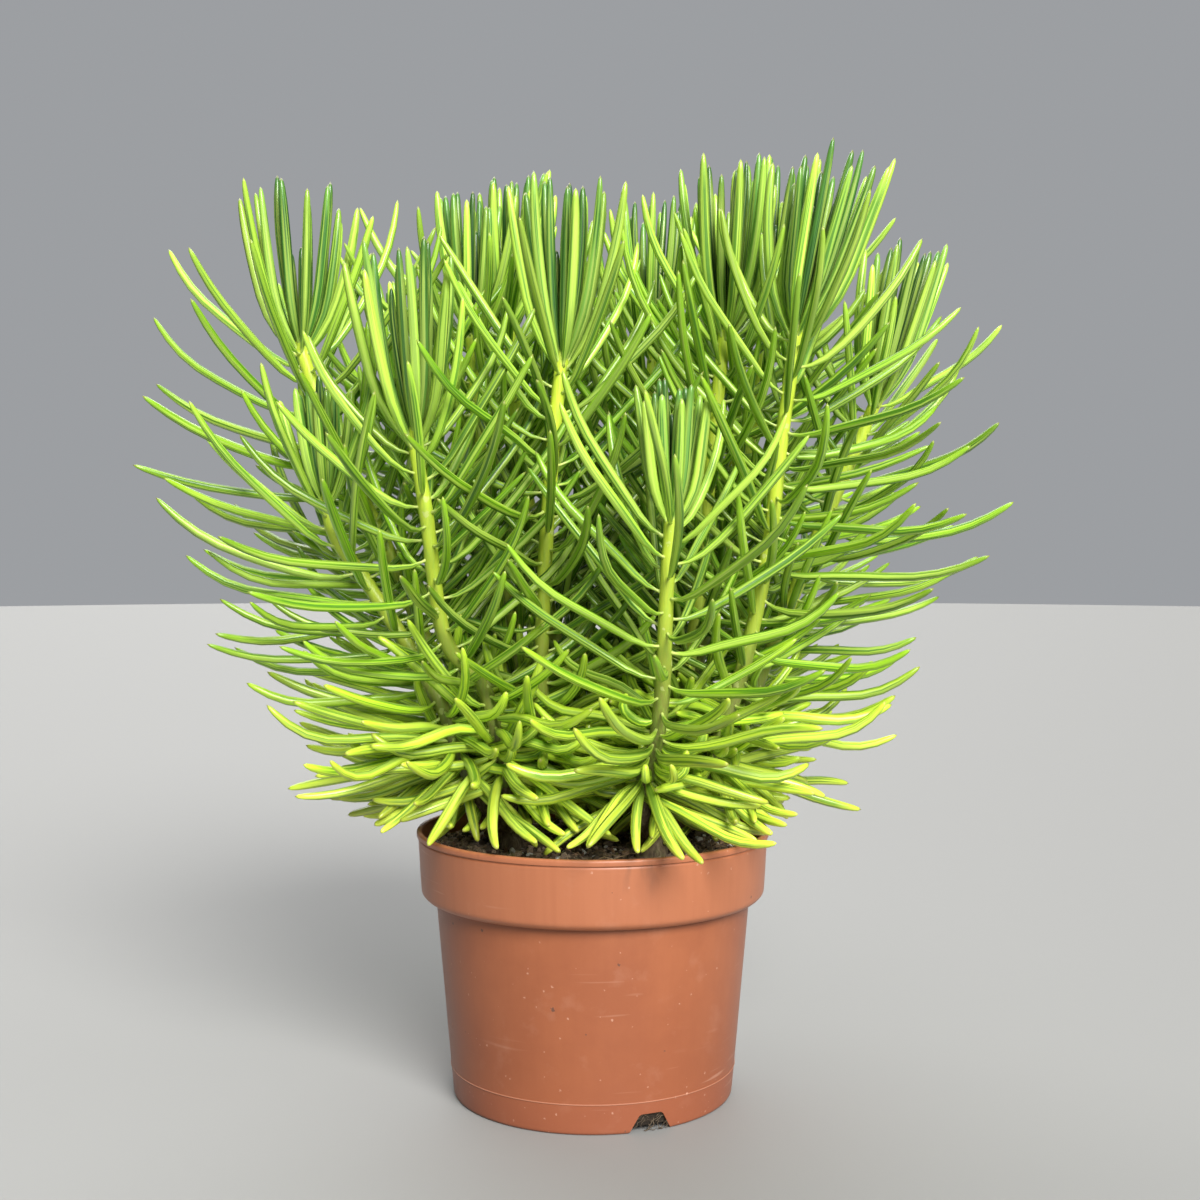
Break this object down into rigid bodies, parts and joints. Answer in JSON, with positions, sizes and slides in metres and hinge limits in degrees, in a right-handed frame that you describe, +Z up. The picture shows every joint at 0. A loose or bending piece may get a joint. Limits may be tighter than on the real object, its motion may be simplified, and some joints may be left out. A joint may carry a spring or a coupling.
{
  "type": "potted finger-leaved senecio",
  "caption": "Bushy succulent senecio with finger-like leaves on upright shoots, growing from soil in a round plastic nursery pot.",
  "frame": {"origin": "centre of the flat underside of the pot", "axes": "+Z up along the pot's axis, -Y towards the front of the plant, +X to the right seen from the front"},
  "size_m": [0.4365, 0.3834, 0.4619],
  "materials": {
    "pot_plastic": "satin terracotta-coloured moulded plastic with dust and light scuffs",
    "potting_soil": "dark crumbly potting soil with fibres, bark and perlite",
    "woody_stem": "rough brown-green bark",
    "side_leaves": "glossy fleshy leaves, bright green turning yellow-green near the soil, with faint lengthwise stripes",
    "crown_leaves": "glossy upright leaves, bright green outside and dark blue-green inside"
  },
  "bodies": {
    "root": {"pot": "pot_plastic", "soil": "potting_soil", "woody_base_left": "woody_stem", "woody_base_right": "woody_stem", "woody_base_back": "woody_stem", "shoot_01": "side_leaves", "crown_01": "crown_leaves", "shoot_02": "side_leaves", "crown_02": "crown_leaves", "shoot_03": "side_leaves", "crown_03": "crown_leaves", "shoot_04": "side_leaves", "crown_04": "crown_leaves", "shoot_05": "side_leaves", "crown_05": "crown_leaves", "shoot_06": "side_leaves", "crown_06": "crown_leaves", "shoot_07": "side_leaves", "crown_07": "crown_leaves", "shoot_08": "side_leaves", "crown_08": "crown_leaves", "shoot_09": "side_leaves", "crown_09": "crown_leaves", "shoot_10": "side_leaves", "crown_10": "crown_leaves", "shoot_11": "side_leaves", "crown_11": "crown_leaves", "shoot_12": "side_leaves", "crown_12": "crown_leaves", "shoot_13": "side_leaves", "crown_13": "crown_leaves", "shoot_14": "side_leaves", "crown_14": "crown_leaves", "shoot_15": "side_leaves", "crown_15": "crown_leaves", "shoot_16": "side_leaves", "crown_16": "crown_leaves"}
  },
  "joints": []
}
